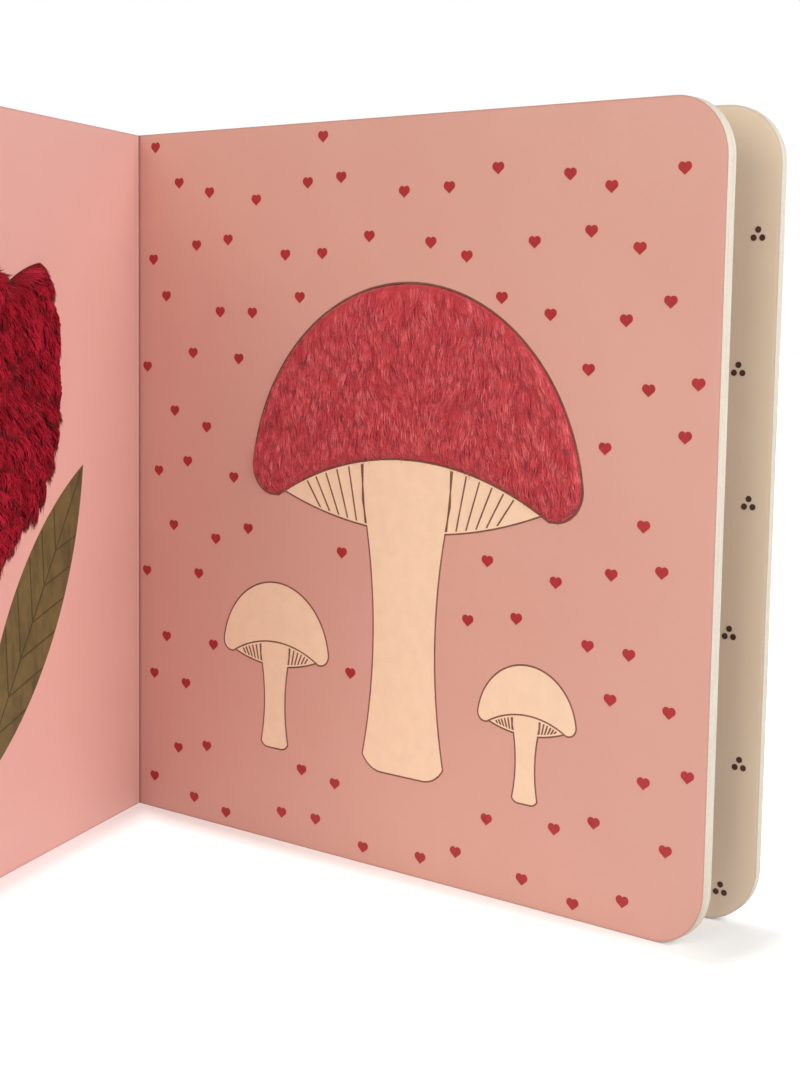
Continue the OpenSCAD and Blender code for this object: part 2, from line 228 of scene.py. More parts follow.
class Recipe:
    """A material that is put together node by node."""

    def __init__(self, name):
        self.material = bpy.data.materials.new(name)
        self.material.use_nodes = True
        self.tree = self.material.node_tree
        self.tree.nodes.clear()
        self.output = self.node("ShaderNodeOutputMaterial")

    def node(self, kind, settings=None, links=None):
        """A node of a kind, with its settings made first and then its sockets' values or links, by name or number."""
        made = self.tree.nodes.new(kind)
        for name, value in (settings or {}).items():
            setattr(made, name, value)
        for name, value in (links or {}).items():
            socket = made.inputs[name]
            if isinstance(value, Wire):
                value = value.socket
            if isinstance(value, bpy.types.NodeSocket):
                self.tree.links.new(value, socket)
            elif isinstance(value, tuple) and len(value) == 3 and socket.type == "RGBA":
                socket.default_value = (*value, 1)
            else:
                socket.default_value = value
        return made

    def maths(self, operation, *values, clamp=False):
        made = self.node("ShaderNodeMath", {"operation": operation, "use_clamp": clamp}, dict(enumerate(values)))
        return Wire(self, made.outputs[0])

    def mix(self, factor, first, second):
        made = self.node("ShaderNodeMix", {"data_type": "RGBA"}, {0: factor, 6: first, 7: second})
        return Wire(self, made.outputs[2])

    def place(self):
        """The object's own coordinates, in metres."""
        return Wire(self, self.node("ShaderNodeTexCoord").outputs["Object"])

    def facing(self):
        """The direction that the surface faces, in the object's own frame."""
        return Wire(self, self.node("ShaderNodeTexCoord").outputs["Normal"])

    def parts(self, vector):
        made = self.node("ShaderNodeSeparateXYZ", links={0: vector})
        return [Wire(self, socket) for socket in made.outputs]

    def joined(self, x, y, z):
        return Wire(self, self.node("ShaderNodeCombineXYZ", links={0: x, 1: y, 2: z}).outputs[0])

    def noise(self, vector, scale, detail=2.0, roughness=0.5):
        made = self.node(
            "ShaderNodeTexNoise", links={"Vector": vector, "Scale": scale, "Detail": detail, "Roughness": roughness}
        )
        return Wire(self, made.outputs[0])

    def attribute(self, name):
        return Wire(self, self.node("ShaderNodeAttribute", {"attribute_name": name}).outputs["Fac"])

    def bump(self, height, distance, strength=1.0):
        made = self.node("ShaderNodeBump", links={"Height": height, "Distance": distance, "Strength": strength})
        return Wire(self, made.outputs[0])

    def surface(self, **values):
        """The shader itself. An argument's name is its socket's, with _ for a space."""
        links = {name.replace("_", " "): value for name, value in values.items()}
        made = self.node("ShaderNodeBsdfPrincipled", links=links)
        self.tree.links.new(made.outputs[0], self.output.inputs["Surface"])
        return self.material


def page_axes(recipe, leaf, mirrored):
    """(s, depth, z, faceness): the place along, behind and up a page, and how squarely its back is faced.

    A mirrored recipe folds the left page onto the right one, so one recipe serves both.
    """
    x, y, z = recipe.parts(recipe.place())
    nx, ny = recipe.parts(recipe.facing())[:2]
    side = x.sign() if mirrored else 1
    sx, sn = x * side, nx * side
    s = sx * leaf.along[0] + y * leaf.along[1]
    depth = sx * leaf.behind[0] + y * leaf.behind[1]
    faceness = sn * leaf.behind[0] + ny * leaf.behind[1]
    return s, depth, z, faceness


def rim_distance(leaf, s, z, radius):
    """How far a point lies inside a leaf's outline.

    It is the radius less the length of what s and z go past the middle of the corner arcs, which holds along the
    head, the tail, the fore-edge and round both corners.
    """
    over_s = (s - (leaf.end - radius)).above()
    over_z = (abs(z - leaf.height / 2) - (leaf.height / 2 - radius)).above()
    return radius - (over_s * over_s + over_z * over_z).root()


def paper_tooth(recipe, place):
    """The fine tooth of laminated board."""
    return recipe.noise(place, FINE_TOOTH, 3, 0.6) * 0.65 + recipe.noise(place, COARSE_TOOTH, 2) * 0.35


def paper_cloud(recipe, place):
    """The slow unevenness of a printed field."""
    return recipe.noise(place, CLOUDS, 3, 0.55)


def tinted(colour, *shares):
    """A colour with each of its parts times a share, and none past the lightest that ink or paper gets."""
    return tuple(np.minimum(np.array(colour) * shares, LIGHTEST))


def laminated(recipe, looks, colour, tooth, relief, rougher=None):
    """Matt laminated paper. Its relief is a bump's height, distance and strength."""
    rough = looks.paper_roughness + (tooth - 0.5) * 0.16
    return recipe.surface(
        Base_Color=colour,
        Roughness=rough if rougher is None else rough + rougher,
        Specular_IOR_Level=PRINT_GLOSS,
        Normal=recipe.bump(*relief),
    )


def sheet_finish(name, leaf, colour, core, looks, mirrored=False, back=None, crease=False):
    """A laminated printed face over board: its cut edge, its rim bumped in and darkened by painted shade, and its
    tooth.
    """
    recipe = Recipe(name)
    place = recipe.place()
    s, depth, z, faceness = page_axes(recipe, leaf, mirrored)
    tooth, cloud = paper_tooth(recipe, place), paper_cloud(recipe, place)
    deeper, paler = tinted(colour, 0.98, 0.965, 0.96), tinted(colour, 1.015, 1.03, 1.03)
    ink = recipe.mix(cloud.step(0.3, 0.72), deeper, paler)
    ink = recipe.mix(tooth.step(0.42, 0.7) * 0.07, ink, core)
    # The rim: a bump, and a line of painted shade along it.
    pressed_and_shaded = 1 - rim_distance(leaf, s, z, looks.corner_radius).step(*RIM_PRESS_AND_SHADE)
    ink = recipe.mix(pressed_and_shaded * looks.rim_shade_depth, ink, tinted(colour, 0.66, 0.66, 0.68))
    # A creased sheet gets the painted shade and highlight of the gutter fold.
    if crease:
        ink = painted_gutter_shade(recipe, ink, place, s, colour, looks)
    if back is not None:
        ink = recipe.mix(faceness.step(-0.5, 0.5), back, ink)
    edge = 1 - abs(faceness).step(0.6, 0.8)
    face = recipe.mix(edge, ink, cut_edge(recipe, place, depth, core))
    return laminated(recipe, looks, face, tooth, (tooth - pressed_and_shaded * 6, 0.02 * MM, 0.5), edge * 0.3)


def painted_gutter_shade(recipe, colour, place, s, base, looks):
    """Painted shade and highlight at the fold of the open spread, from the gutter outwards.

    The right side is a dark line of painted shade that fades out. The left side is a dark line of painted shade, a
    paler ridge of painted highlight, and a thin line of painted shade where the ridge ends.
    """
    x = recipe.parts(place)[0]
    right = x.step(-0.02 * MM, 0.02 * MM)
    wander = recipe.noise(place, 60, 2) * 0.3 + 0.7
    # dark is the painted shade in the fold, pale the painted highlight on the ridge beside it.
    dark, pale = tinted(base, 0.42, 0.3, 0.28), tinted(base, 1.08, 1.2, 1.22)
    line = 1 - s.step(0.3 * MM, 1.1 * MM)
    gutter_shade_fade = (1 - s.step(0, 6 * MM)) * 0.16
    colour = recipe.mix(right * (line * wander + gutter_shade_fade) * looks.gutter_shade_depth, colour, dark)
    ridge = s.step(0.25 * MM, 0.5 * MM) - s.step(1.2 * MM, 1.5 * MM)
    colour = recipe.mix((1 - right) * ridge * wander * 0.75, colour, pale)
    ends = 1 - s.step(0.05 * MM, 0.3 * MM) + s.step(1.25 * MM, 1.5 * MM) - s.step(1.55 * MM, 1.9 * MM)
    return recipe.mix((1 - right) * ends * wander * 0.22, colour, dark)


def cut_edge(recipe, place, depth, core):
    """The knife-cut edge of greyboard: faint plies that run along the edge, with a fibre fleck."""
    x, _, z = recipe.parts(place)
    plies = recipe.noise(recipe.joined(x * 0.12, depth * 9, z * 0.12), 420, 3, 0.55)
    fleck = recipe.noise(place, 1500, 2)
    darker, lighter = tinted(core, 0.86, 0.84, 0.8), tinted(core, 1.04, 1.05, 1.06)
    return recipe.mix((plies * 0.7 + fleck * 0.3).step(0.36, 0.62), darker, lighter)


def board_finish(name, leaf, face_colour, core):
    """The leaves themselves: pale printed faces between the fanned leaves, and ply lines in their cut edges."""
    recipe = Recipe(name)
    place = recipe.place()
    depth, faceness = page_axes(recipe, leaf, True)[1::2]
    tooth, cloud = paper_tooth(recipe, place), paper_cloud(recipe, place)
    edge_colour = cut_edge(recipe, place, depth, core)
    face = recipe.mix(cloud.step(0.3, 0.7), tinted(face_colour, 0.94), face_colour)
    edge = 1 - abs(faceness).step(0.6, 0.85)
    return recipe.surface(
        Base_Color=recipe.mix(edge, face, edge_colour),
        Roughness=0.55 + edge * 0.25 + (tooth - 0.5) * 0.15,
        Specular_IOR_Level=BOARD_GLOSS,
        Normal=recipe.bump(tooth, 0.03 * MM, 0.6),
    )


def ink_finish(name, colour, looks, patchy=0.12, streaks=None, dark=None):
    """Ink on laminated paper: a slightly uneven field, and brushed streaks where the print has them."""
    recipe = Recipe(name)
    place = recipe.place()
    fine = recipe.noise(place, 260, 3, 0.6)
    field = recipe.mix(fine.step(0.35, 0.65), tinted(colour, 1 - patchy), tinted(colour, 1 + patchy * 0.6))
    if streaks:
        x, y, z = recipe.parts(place)
        turned = recipe.joined(x * streaks[0], y, z * streaks[1])
        brushed = recipe.noise(turned, 240, 4, 0.65) * 0.7 + recipe.noise(place, 75, 3) * 0.3
        field = recipe.mix(brushed.step(0.5, 0.62) * 0.75, field, dark)
    tooth = paper_tooth(recipe, place)
    return laminated(recipe, looks, field, tooth, (tooth, 0.02 * MM, 0.5))


def plush_finish(name, deep, mid, light, looks):
    """Pile fibres: painted shade darkens them towards the root and a painted highlight lightens them towards the tip,
    with each tuft and each clump a tone of its own.
    """
    recipe = Recipe(name)
    along, tint, clump = (recipe.attribute(n) for n in ("along", "tint", "clump"))
    grain = recipe.noise(recipe.place(), 900, 2)
    # body runs from the painted root shade, deep, to the middle colour towards the tip.
    body = recipe.mix((along * 0.75 + tint * 0.35).clamped(), deep, mid)
    # lit is the painted highlight, strongest at the tips, mixed with each tuft's and each lock's own tone.
    lit = (clump * looks["clump"] + tint * 0.7 + along * 0.35 + grain * 0.25).step(0.8, 1.3)
    colour = recipe.mix(lit, body, light)
    return recipe.surface(
        Base_Color=colour,
        Roughness=0.78 - along * 0.12,
        Specular_IOR_Level=0.12,
        Sheen_Weight=looks["sheen"],
        Sheen_Roughness=0.45,
        Sheen_Tint=(1.0, 0.8, 0.8, 1.0),
    )


def new_piece(name, points, faces, material, body, attributes):
    """A smooth mesh from whole arrays. Its object sits at the origin, and it rides on a body if one is named."""
    mesh = bpy.data.meshes.new(name)
    mesh.from_pydata(points.tolist(), [], faces if isinstance(faces, list) else faces.tolist())
    mesh.polygons.foreach_set("use_smooth", np.full(len(mesh.polygons), True))
    for attribute, values in attributes.items():
        mesh.attributes.new(attribute, "FLOAT", "POINT").data.foreach_set("value", values.astype(np.float32))
    mesh.update()
    piece = bpy.data.objects.new(name, mesh)
    bpy.context.scene.collection.objects.link(piece)
    piece.data.materials.append(material)
    if body:
        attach(piece, body)
    return piece


def waves(p, seed, lengths, per=5):
    """Smooth noise of about -1 to 1 at rows of (s, z): a sum of plane waves with seeded headings and phases."""
    rng = np.random.default_rng(seed)
    total = np.zeros(len(p))
    for length in lengths:
        heading = rng.uniform(0, 2 * np.pi, per)
        phase = rng.uniform(0, 2 * np.pi, per)
        k = 2 * np.pi / (length * rng.uniform(0.75, 1.35, per))
        total += np.sin((p @ np.stack([np.cos(heading), np.sin(heading)])) * k + phase).sum(1)
    return total / (0.75 * per * len(lengths)) * 1.1


def polar(p):
    """The angle and length of rows of (s, z)."""
    return np.arctan2(p[:, 1], p[:, 0]), np.linalg.norm(p, axis=1)


def nearest(p, marks):
    """The number of the mark that is nearest to each point, and its distance, in blocks that spare memory."""
    which, far = np.empty(len(p), int), np.empty(len(p))
    block_size = 3000
    for block in np.array_split(np.arange(len(p)), max(1, len(p) // block_size)):
        square = ((p[block, None] - marks[None]) ** 2).sum(-1)
        which[block] = square.argmin(1)
        far[block] = np.sqrt(square.min(1))
    return which, far


class Patch:
    """A plush patch in the frame of its page: its outline, the triangles of its face and its height over the page."""

    def __init__(self, node, leaf):
        self.leaf = leaf
        corners = node_triangles(node)
        s, d = corners @ leaf.along, corners @ leaf.behind
        self.pile = -float(d.min())
        self.bed = float(d.max())
        within = 0.02 * MM
        face = (d < d.min() + within).all(1)
        self.triangles = np.stack([s[face], corners[face][..., 2]], -1)
        self.outline = self.ordered_outline()

    def ordered_outline(self):
        """The face's open edges, put in order by their angle about the middle, which sees the whole outline."""
        flat = self.triangles.reshape(-1, 2)
        key, where = np.unique((flat / WELD).round().astype(np.int64), axis=0, return_inverse=True)
        tri = where.reshape(-1, 3)
        edges = np.sort(np.concatenate([tri[:, [0, 1]], tri[:, [1, 2]], tri[:, [2, 0]]]), 1)
        unique, count = np.unique(edges, axis=0, return_counts=True)
        rim = np.unique(unique[count == 1])
        points = key[rim] * WELD
        area = np.abs(self.cross(self.triangles)) / 2
        self.area = float(area.sum())
        self.middle = (self.triangles.mean(1) * area[:, None]).sum(0) / area.sum()
        turn = np.arctan2(*(points - self.middle).T[::-1])
        return points[np.argsort(turn)]

    @staticmethod
    def cross(t):
        a, b = t[:, 1] - t[:, 0], t[:, 2] - t[:, 0]
        return a[:, 0] * b[:, 1] - a[:, 1] * b[:, 0]

    def rim(self, count):
        """The outline at even steps along its length."""
        loop = np.vstack([self.outline, self.outline[:1]])
        run = np.append(0, np.cumsum(np.linalg.norm(np.diff(loop, axis=0), axis=1)))
        at = np.linspace(0, run[-1], count, endpoint=False)
        return np.stack([np.interp(at, run, loop[:, k]) for k in (0, 1)], 1)

    def scatter(self, rng, count):
        """Points spread evenly over the face: a triangle is drawn by its area, then a point in it by two shares."""
        area = np.abs(self.cross(self.triangles))
        pick = self.triangles[rng.choice(len(area), count, p=area / area.sum())]
        u, v = np.sqrt(rng.random(count)), rng.random(count)
        share = np.stack([1 - u, u * (1 - v), u * v], 1)
        return (pick * share[..., None]).sum(1)

    def sow(self, rng, count):
        """Roots for a pile: even over the face, with a twelfth of them in a fringe close to the outline."""
        fringe = count // 12
        rim = self.rim(fringe)
        step_in = rng.uniform(0.2, 1.4, fringe) * MM / np.linalg.norm(rim - self.middle, axis=1)
        return np.vstack([self.scatter(rng, count - fringe), rim + (self.middle - rim) * step_in[:, None]])

    def outwards(self, p, reach):
        """A push away from the middle, of 1 at the outline and fading inside it."""
        away = p - self.middle
        away = away / np.linalg.norm(away, axis=1)[:, None]
        return away * np.exp(-np.maximum(self.edge_distance(p), 0) / reach)[:, None]

    def edge_distance(self, p):
        """How far each point lies inside the outline, and below 0 outside it.

        A point is inside where it is nearer to the middle than the outline is at the same angle.
        """
        out = nearest(p, self.rim(RIM_POINTS))[1]
        turn, reach = polar(p - self.middle)
        rim_turn, rim_reach = polar(self.outline - self.middle)
        order = np.argsort(rim_turn)
        limit = np.interp(turn, rim_turn[order], rim_reach[order], period=2 * np.pi)
        return np.where(reach < limit, out, -out)

    def cushion(self, p, share, seed):
        """The pad's height over the page: a rolled rim that rises to a share of the pile, with slow hollows."""
        roll = 2.2 * self.pile
        rise = np.clip(self.edge_distance(p) / roll, 0, 1)
        rolled = np.sqrt(1 - (1 - rise) ** 2)
        hollows = 0.16 * waves(p, seed, [9 * MM, 4 * MM])
        return self.pile * share * rolled * (1 + hollows)


def pad_piece(name, patch, share, seed, material, body, rings=26, count=360):
    """The ground of a patch, closed: rings of the outline drawn in to its middle, over and under.

    A point is the middle plus r times the outline less the middle. The face follows the cushion's height, and the
    underside lies on the window's floor.
    """
    rim = patch.rim(count)
    share_in = np.linspace(1, 0.04, rings) ** 1.35
    face = patch.middle + share_in[:, None, None] * (rim - patch.middle)
    flat = face.reshape(-1, 2)
    height = patch.cushion(flat, share, seed)
    height += 0.05 * patch.pile * waves(flat, seed + 5, [1.6 * MM, 0.9 * MM]) * np.clip(height / patch.pile, 0, 1)
    top = patch.leaf.world(flat[:, 0], -height, flat[:, 1])
    floor = patch.middle + np.array([1.0, 0.5])[:, None, None] * (rim - patch.middle)
    low = floor.reshape(-1, 2)
    under = patch.leaf.world(low[:, 0], patch.bed, low[:, 1])
    poles = patch.leaf.world(patch.middle[0], np.array([-height[-count:].mean(), patch.bed]), patch.middle[1])
    points = np.vstack([under[::-1].reshape(2, count, 3)[:, ::-1].reshape(-1, 3), top, poles])
    ring = np.arange(rings + 2)[:, None] * count + np.arange(count)[None]
    here, there = ring, np.roll(ring, -1, axis=1)
    quads = np.stack([here[:-1], there[:-1], there[1:], here[1:]], -1).reshape(-1, 4).tolist()
    last = (rings + 2) * count
    fans = [[a, b, last] for a, b in zip(here[-1].tolist(), there[-1].tolist())]
    fans += [[b, a, last + 1] for a, b in zip(here[0].tolist(), there[0].tolist())]
    # The ground takes the colour of the pile's roots, in painted shade.
    return new_piece(name, points, quads + fans, material, body, {
        "along": np.full(len(points), 0.1),
        "tint": np.full(len(points), 0.3),
        "clump": np.full(len(points), 0.2),
    })


def tuft_arrays(root, lie, out, length, width, lift, tip_lift):
    """Closed tapered tufts, seven points and ten triangles each, all at once.

    Each runs from its root along lie. Its middle stands lift above the root and its tip tip_lift above it.
    The sections are triangles square to lie, of the full width at the root and 0.8 of it in the middle.
    """
    n = len(root)
    across = np.cross(out, lie)
    turn = np.radians([90, 210, 330])
    spread = across[:, None] * np.cos(turn)[None, :, None] + out[:, None] * np.sin(turn)[None, :, None] * 0.7
    middle = root + lie * (length * 0.5)[:, None] + out * lift[:, None]
    tip = root + lie * length[:, None] + out * tip_lift[:, None]
    base = root[:, None] + spread * (width / 2)[:, None, None]
    waist = middle[:, None] + spread * (width * 0.4)[:, None, None]
    points = np.concatenate([base, waist, tip[:, None]], 1)
    one = np.array([
        [0, 2, 1], [0, 1, 4], [0, 4, 3], [1, 2, 5], [1, 5, 4], [2, 0, 3], [2, 3, 5], [3, 4, 6], [4, 5, 6], [5, 3, 6],
    ])
    faces = one[None] + 7 * np.arange(n)[:, None, None]
    a, b, c = (points[0][one[:, k]] - points[0].mean(0) for k in range(3))
    if np.einsum("ij,ij->", a, np.cross(b, c)) < 0:
        faces = faces[..., ::-1]
    return points.reshape(-1, 3), faces.reshape(-1, 3)


def lay_of(p, looks):
    """The way the pile lies at rows of (s, z): down the page, turned by a slow swirl."""
    heading = looks["nap"] + looks["swirl"] * waves(p, looks["seed"], [30 * MM, 13 * MM, 5 * MM])
    return np.stack([np.sin(heading), -np.cos(heading)], 1)


def pile_piece(name, patch, roots, locks, rng, looks, material, body):
    """A field of tufts over part of a patch, gathered into locks.

    A tuft runs from its root by a share of its own lay, and for the rest towards the tip of the nearest lock, so
    that tufts meet at the locks' tips. It is cut back where it would pass the outline by more than its spill.
    """
    leaf = patch.leaf
    n = len(roots)
    which, far = nearest(roots, locks["root"])
    own = lay_of(roots, looks) + rng.normal(0, looks["scatter"], (n, 2))
    own += looks["flare"] * patch.outwards(roots, 1.5 * MM)
    length = looks["length"] * rng.uniform(0.7, 1.2, n)
    tip = locks["root"][which] + locks["way"][which] * locks["length"][which][:, None]
    share = looks["gather"] * rng.uniform(0.75, 1.1, n)
    run = own * (length * (1 - share))[:, None] + (tip - roots) * share[:, None]
    inside = patch.edge_distance(roots)
    past = patch.edge_distance(roots + run)
    spill = locks["spill"][which] * rng.uniform(0.5, 1.1, n)
    stray = rng.random(n) < looks["strays"]
    spill = np.where(stray, spill + STRAY * rng.random(n), spill)
    keep = np.where(past < -spill, (inside + spill) / np.maximum(inside - past, 1e-6), 1).clip(SHORTEST, 1)
    run *= keep[:, None]
    length = np.linalg.norm(run, axis=1)
    way = run / length[:, None]
    width = looks["width"] * rng.uniform(0.7, 1.3, n) * np.clip(keep, 0.4, 1)
    lift = looks["lift"] * locks["lift"][which] * rng.uniform(0.6, 1.2, n) * np.clip(length / looks["length"], 0.1, 1)
    height, mid_height, tip_height = (
        patch.cushion(roots + run * part, looks["share"], looks["seed"]) for part in (0, 0.5, 1)
    )
    root = leaf.world(roots[:, 0], -(height - 0.35 * width), roots[:, 1])
    lie = way[:, :1] * leaf.along + way[:, 1:] * np.array([0, 0, 1.0])
    out = np.broadcast_to(-leaf.behind, lie.shape)
    points, faces = tuft_arrays(
        root, lie, out, length, width, mid_height - height + lift, tip_height - height + lift * looks["droop"]
    )
    middle = np.exp(-((far / (0.6 * looks["spacing"])) ** 2))
    return new_piece(name, points, faces, material, body, {
        # along carries the painted root shade and tip highlight from root to tip.
        "along": np.tile([0, 0, 0, 0.6, 0.6, 0.6, 1.0], n),
        "tint": np.repeat(0.6 * rng.random(n) + 0.4 * middle, 7),
        "clump": np.repeat(locks["shade"][which], 7),
    })


class BookLooks(bpy.types.PropertyGroup):
    """The sizes and finishes of the paper, print and plush."""

    corner_radius: bpy.props.FloatProperty(
        name="Corner radius", description="Rounding of the leaves at the fore-edge", default=13 * MM, unit="LENGTH")
    paper_roughness: bpy.props.FloatProperty(
        name="Paper roughness", description="Roughness of the matt laminated print", default=0.5, subtype="FACTOR")
    # The rim line is painted shade along the rounded rim.
    rim_shade_depth: bpy.props.FloatProperty(
        name="Rim line", description="How dark the pressed line along the rim is", default=0.6, subtype="FACTOR")
    # How dark the painted shade line in the gutter is.
    gutter_shade_depth: bpy.props.FloatProperty(
        name="Crease line", description="How dark the line in the gutter is", default=0.75, subtype="FACTOR")
    pink: bpy.props.FloatVectorProperty(
        name="Pink", description="Ground colour of the open spread", default=linear(209, 157, 147),
        subtype="COLOR")
    core: bpy.props.FloatVectorProperty(
        name="Board core", description="Colour of the cut board", default=linear(200, 190, 176), subtype="COLOR")
    pale: bpy.props.FloatVectorProperty(
        name="Pale sheet", description="Ground colour of the pale sheets", default=linear(220, 200, 179),
        subtype="COLOR")
    heart: bpy.props.FloatVectorProperty(
        name="Hearts", description="Ink of the small hearts", default=linear(162, 36, 42), subtype="COLOR")
    cream: bpy.props.FloatVectorProperty(
        name="Cream print", description="Cream ink of the toadstools", default=linear(238, 207, 182),
        subtype="COLOR")
    brown: bpy.props.FloatVectorProperty(
        name="Brown line", description="Ink of the toadstools' lines", default=linear(120, 78, 62),
        subtype="COLOR")
    olive: bpy.props.FloatVectorProperty(
        name="Olive print", description="Ink of the tulip's leaves", default=linear(98, 84, 48), subtype="COLOR")
    olive_dark: bpy.props.FloatVectorProperty(
        name="Dark olive", description="Ink of the tulip's veins", default=linear(64, 55, 33), subtype="COLOR")
    sprig: bpy.props.FloatVectorProperty(
        name="Sprigs", description="Ink of the sprigs on the pale spread", default=linear(70, 42, 36),
        subtype="COLOR")
    cap_colour: bpy.props.FloatVectorProperty(
        name="Cap plush", description="Middle colour of the short plush", default=linear(216, 80, 90),
        subtype="COLOR")
    bloom_colour: bpy.props.FloatVectorProperty(
        name="Bloom plush", description="Middle colour of the long plush", default=linear(146, 10, 30),
        subtype="COLOR")


class StageLooks(bpy.types.PropertyGroup):
    """The lamps, floor and camera."""

    fill: bpy.props.FloatProperty(
        name="Fill", description="Strength of the light from all round", default=0.12, min=0)
    key: bpy.props.FloatProperty(
        name="Key", description="Power of the soft lamp at the front right", default=26, min=0, unit="POWER")
    side: bpy.props.FloatProperty(
        name="Side", description="Power of the soft lamp at the front left", default=11.5, min=0, unit="POWER")
    top: bpy.props.FloatProperty(
        name="Top", description="Power of the soft lamp above and behind", default=5, min=0, unit="POWER")
    back: bpy.props.FloatProperty(
        name="Back", description="Power of the soft lamp behind the book", default=9, min=0, unit="POWER")
    floor_lift: bpy.props.FloatProperty(
        name="Floor lift", description="Brightness that the eye's rays add to the floor", default=0.13, min=0)
    lens: bpy.props.FloatProperty(
        name="Lens", description="Focal length on a sensor 36 mm long", default=63.9437, min=1)


def paint(node, material):
    """Gives a CAD node its finish through its object's slots, with its mesh as it was."""
    target = frame["nodes"][node]
    if not target.data.materials:
        target.data.materials.append(material)
    for place in target.material_slots:
        place.link = "OBJECT"
        place.material = material


class BOOK_OT_paper(bpy.types.Operator):
    """Finish the board leaves, the printed sheets and the covers"""

    bl_idname = "book.paper"
    bl_label = "Paper and Board"

    def execute(self, context):
        looks = context.scene.book_looks
        pink, core, pale = (tuple(c) for c in (looks.pink, looks.core, looks.pale))
        paint("open_spread_sheet", sheet_finish("pink_print", RIGHT, pink, core, looks, mirrored=True, crease=True))
        paint("pages", board_finish("cut_board", RIGHT, pale, core))
        paint("leaf_back_sheet", sheet_finish("pale_print", LEAF_BACK, pale, core, looks))
        paint("back_cover_lining", sheet_finish("pale_lining", BACK_LINING, pale, core, looks))
        paint("back_cover", sheet_finish("back_cover_stock", BACK_COVER, pink, core, looks, back=pale))
        paint("front_cover", sheet_finish("front_cover_stock", FRONT_COVER, pink, core, looks, back=pale))
        paint("spine", spine_finish("spine_stock", pink, core, looks))
        return {"FINISHED"}


def spine_finish(name, colour, core, looks):
    """The bowed spine strip: laminated stock with fine stretch marks down it and pale cut ends."""
    recipe = Recipe(name)
    place = recipe.place()
    x, y, z = recipe.parts(place)
    tooth, cloud = paper_tooth(recipe, place), paper_cloud(recipe, place)
    stretch = recipe.noise(recipe.joined(x * 8, y * 8, z * 0.15), 160, 3)
    worn = recipe.mix(stretch.step(0.58, 0.72) * 0.25, colour, core)
    ground = recipe.mix(cloud.step(0.3, 0.7) * 0.5, worn, tinted(colour, 0.9))
    end = abs(recipe.parts(recipe.facing())[2]).step(0.5, 0.8)
    return laminated(recipe, looks, recipe.mix(end, ground, core), tooth, (tooth + stretch * 2, 0.03 * MM, 0.5))


class Crease:
    """The plan of one cover's crease: the spine's arc before it and the cover's outer face after it.

    The arc runs through both creases, and its rise over their chord is the spine's own.
    """

    def __init__(self, joint, other, leaf):
        self.body, self.leaf = joint["child"], leaf
        self.at, there = np.array(joint["pos_m"][:2]), np.array(other["pos_m"][:2])
        chord = there - self.at
        out = np.array([-chord[1], chord[0]]) / np.linalg.norm(chord)
        past = (node_points("spine")[:, :2] - self.at) @ out
        out, bow = (out, past.max()) if past.max() > -past.min() else (-out, -past.min())
        self.radius = (chord @ chord / 4 + bow * bow) / (2 * bow)
        self.centre = (self.at + there) / 2 + out * (bow - self.radius)
        spoke = self.at - self.centre
        self.turn = math.atan2(spoke[1], spoke[0])
        self.sense = np.sign(spoke[0] * chord[1] - spoke[1] * chord[0])

    def path(self, run):
        """Places and outward directions at each run past the crease, in metres, below 0 on the spine."""
        angle = self.turn - self.sense * np.minimum(run, 0) / self.radius
        radial = np.stack([np.cos(angle), np.sin(angle)], 1)
        on_spine = (run < 0)[:, None]
        place = np.where(on_spine, self.centre + self.radius * radial, self.at + run[:, None] * self.leaf.along[:2])
        out = np.where(on_spine, radial, self.leaf.behind[:2])
        corner = radial + self.leaf.behind[:2]
        corner /= np.linalg.norm(corner, axis=1)[:, None]
        return place, np.where(np.isclose(run, 0)[:, None], corner, out)


def crease_strip(name, crease, material):
    """The cover stock that runs on over a crease: a thin closed band that follows the spine's arc and runs on along
    the cover.

    Its section is the crease's path moved outwards by each of the skin's two distances.
    """
    n = STRIP_POINTS
    run = np.linspace(*STRIP_SPAN, n) * MM
    place, out = crease.path(run)
    ends = (STRIP_SHORT, crease.leaf.height - STRIP_SHORT)
    rows = [np.column_stack([place + out * lift, np.full(n, z)]) for z in ends for lift in STRIP_SKIN]
    low_in, low_out, high_in, high_out = np.arange(4 * n).reshape(4, n)
    bands = [(low_in, high_in), (high_in, high_out), (high_out, low_out), (low_out, low_in)]
    ring = np.array([low_in, high_in, high_out, low_out])
    caps = [ring[:, 0], ring[::-1, -1]]
    faces = np.vstack([np.stack([a[:-1], a[1:], b[1:], b[:-1]], 1) for a, b in bands] + caps)
    if crease.sense < 0:
        faces = faces[:, ::-1]
    attributes = {"run": np.tile(run / MM, 4)}
    piece = new_piece(name, np.vstack(rows), faces, material, None, attributes)
    middle = crease.leaf.height / 2
    start, end = (np.append(crease.path(np.array([r * MM]))[0][0], middle) for r in STRIP_BEND)
    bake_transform(piece)


def crease_finish(name, colour, looks):
    """Cover stock over a crease: the press has left a groove along it, bumped in and darkened by painted shade."""
    recipe = Recipe(name)
    place = recipe.place()
    tooth, cloud = paper_tooth(recipe, place), paper_cloud(recipe, place)
    run = recipe.attribute("run")
    groove = 1 - abs(run).step(0.15, 0.55)
    edge = abs(run - sum(STRIP_SPAN) / 2).step(1.6, 1.9)
    ground = recipe.mix(cloud.step(0.3, 0.7) * 0.5, colour, tinted(colour, 0.94))
    # Painted shade in the groove, uneven with the tooth.
    shaded_groove = recipe.mix(groove * (0.4 + tooth * 0.3), ground, tinted(colour, 0.72, 0.66, 0.66))
    return laminated(recipe, looks, shaded_groove, tooth, (tooth * 0.1 - groove - edge, 0.12 * MM, 0.7))


